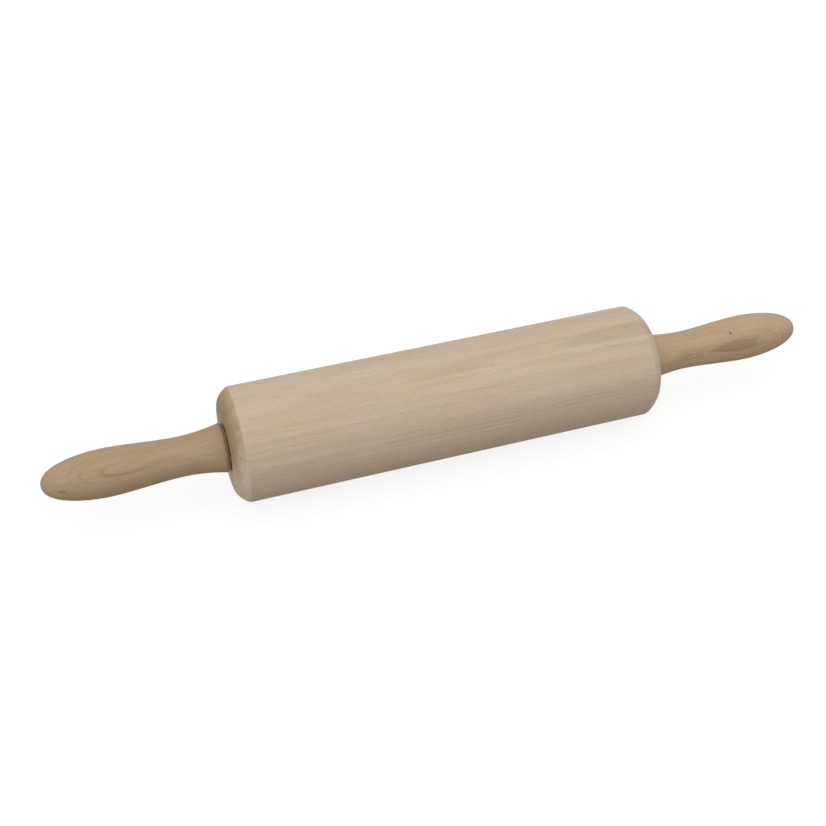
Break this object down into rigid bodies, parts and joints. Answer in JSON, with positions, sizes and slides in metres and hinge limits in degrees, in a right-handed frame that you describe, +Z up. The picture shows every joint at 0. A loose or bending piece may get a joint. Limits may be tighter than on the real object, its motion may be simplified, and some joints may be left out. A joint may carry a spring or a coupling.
{
  "type": "rolling pin",
  "caption": "Wooden rolling pin: a turned beech barrel with rounded ends that spins on ball bearings on a steel axle between two turned beech handles.",
  "frame": {"origin": "on the table under the middle of the barrel, the bottom centre of the bounding box", "axes": "+X along the axle towards the right handle, +Z up from the table, +Y to the back"},
  "size_m": [0.45, 0.065, 0.065],
  "materials": {
    "pale_beech": "bare, sanded",
    "warm_beech": "bare, sanded",
    "steel": "turned",
    "ball_steel": "polished",
    "brass": "turned",
    "nylon": "moulded"
  },
  "bodies": {
    "handles": {"axle": "steel", "left_handle": "warm_beech", "left_threaded_insert": "brass", "left_spacer": "steel", "left_inner_race": "steel", "right_handle": "warm_beech", "right_threaded_insert": "brass", "right_spacer": "steel", "right_inner_race": "steel"},
    "barrel": {"barrel": "pale_beech", "left_outer_race": "steel", "left_outside_shield": "steel", "left_inside_shield": "steel", "right_outer_race": "steel", "right_outside_shield": "steel", "right_inside_shield": "steel"},
    "left_balls": {"left_ball_cage": "nylon", "left_ball_1": "ball_steel", "left_ball_2": "ball_steel", "left_ball_3": "ball_steel", "left_ball_4": "ball_steel", "left_ball_5": "ball_steel", "left_ball_6": "ball_steel", "left_ball_7": "ball_steel"},
    "right_balls": {"right_ball_cage": "nylon", "right_ball_1": "ball_steel", "right_ball_2": "ball_steel", "right_ball_3": "ball_steel", "right_ball_4": "ball_steel", "right_ball_5": "ball_steel", "right_ball_6": "ball_steel", "right_ball_7": "ball_steel"}
  },
  "joints": [
    {"name": "barrel_spin", "type": "hinge", "parent": "handles", "child": "barrel", "pos_m": [0, 0, 0.0325], "axis": [1, 0, 0], "continuous": true},
    {"name": "left_ball_orbit", "type": "hinge", "parent": "handles", "child": "left_balls", "pos_m": [0, 0, 0.0325], "axis": [1, 0, 0], "continuous": true},
    {"name": "right_ball_orbit", "type": "hinge", "parent": "handles", "child": "right_balls", "pos_m": [0, 0, 0.0325], "axis": [1, 0, 0], "continuous": true}
  ],
  "couplings": [
    {"joint": "left_ball_orbit", "follows": "barrel_spin", "ratio": 0.632},
    {"joint": "right_ball_orbit", "follows": "barrel_spin", "ratio": 0.632}
  ]
}
